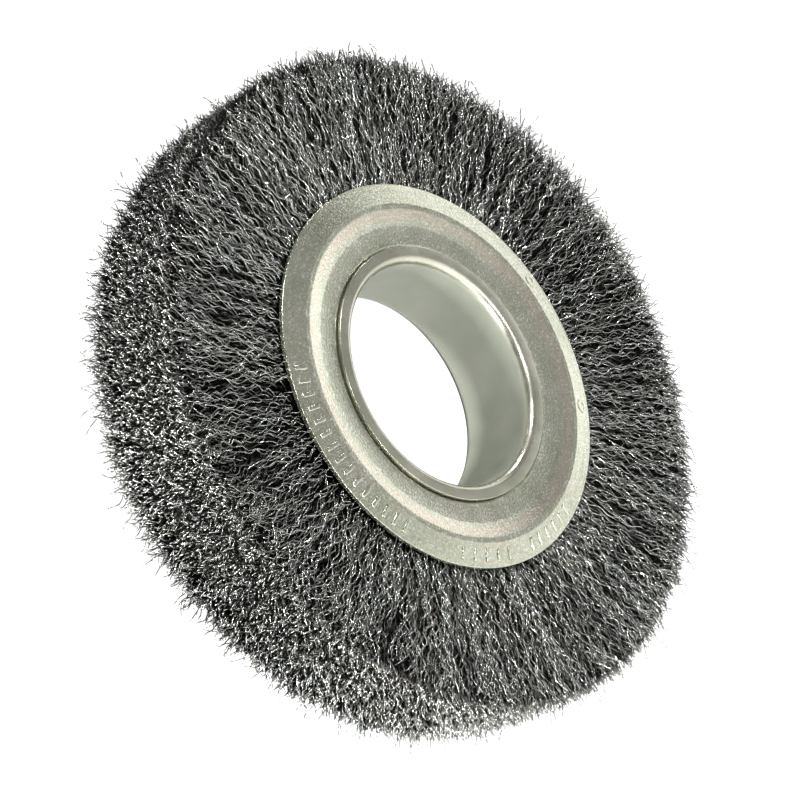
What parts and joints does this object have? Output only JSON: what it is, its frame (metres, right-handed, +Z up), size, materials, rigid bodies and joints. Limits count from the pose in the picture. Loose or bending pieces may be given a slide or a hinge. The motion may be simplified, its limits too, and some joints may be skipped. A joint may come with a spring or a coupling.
{
  "type": "crimped wire wheel brush",
  "caption": "Wide-face crimped wire wheel brush for a bench grinder, with dished steel side plates and a large plain arbor hole.",
  "frame": {"origin": "centre of the wheel: on the arbor hole's axis, midway between the two side plates", "axes": "+Y along the arbor hole's axis; the front side plate faces -Y; the wheel is the same all round, so X and Z are any two directions across it, with +Z up"},
  "size_m": [0.1524, 0.0276, 0.1524],
  "materials": {
    "side_plate_zinc": "zinc-plated stamped sheet steel, satin with faint mottling",
    "arbor_tube_zinc": "zinc-plated steel tube, smooth satin",
    "hoop_steel": "plain round steel wire, hidden inside",
    "crimped_wire": "fine crimped carbon steel wire, dark and lightly oiled"
  },
  "bodies": {
    "root": {"front_side_plate": "side_plate_zinc", "rear_side_plate": "side_plate_zinc", "arbor_tube": "arbor_tube_zinc", "retaining_hoop_front": "hoop_steel", "retaining_hoop_middle": "hoop_steel", "retaining_hoop_rear": "hoop_steel", "wire_bunch_front_01": "crimped_wire", "wire_bunch_front_02": "crimped_wire", "wire_bunch_front_03": "crimped_wire", "wire_bunch_front_04": "crimped_wire", "wire_bunch_front_05": "crimped_wire", "wire_bunch_front_06": "crimped_wire", "wire_bunch_front_07": "crimped_wire", "wire_bunch_front_08": "crimped_wire", "wire_bunch_front_09": "crimped_wire", "wire_bunch_front_10": "crimped_wire", "wire_bunch_front_11": "crimped_wire", "wire_bunch_front_12": "crimped_wire", "wire_bunch_middle_01": "crimped_wire", "wire_bunch_middle_02": "crimped_wire", "wire_bunch_middle_03": "crimped_wire", "wire_bunch_middle_04": "crimped_wire", "wire_bunch_middle_05": "crimped_wire", "wire_bunch_middle_06": "crimped_wire", "wire_bunch_middle_07": "crimped_wire", "wire_bunch_middle_08": "crimped_wire", "wire_bunch_middle_09": "crimped_wire", "wire_bunch_middle_10": "crimped_wire", "wire_bunch_middle_11": "crimped_wire", "wire_bunch_middle_12": "crimped_wire", "wire_bunch_rear_01": "crimped_wire", "wire_bunch_rear_02": "crimped_wire", "wire_bunch_rear_03": "crimped_wire", "wire_bunch_rear_04": "crimped_wire", "wire_bunch_rear_05": "crimped_wire", "wire_bunch_rear_06": "crimped_wire", "wire_bunch_rear_07": "crimped_wire", "wire_bunch_rear_08": "crimped_wire", "wire_bunch_rear_09": "crimped_wire", "wire_bunch_rear_10": "crimped_wire", "wire_bunch_rear_11": "crimped_wire", "wire_bunch_rear_12": "crimped_wire"}
  },
  "joints": []
}
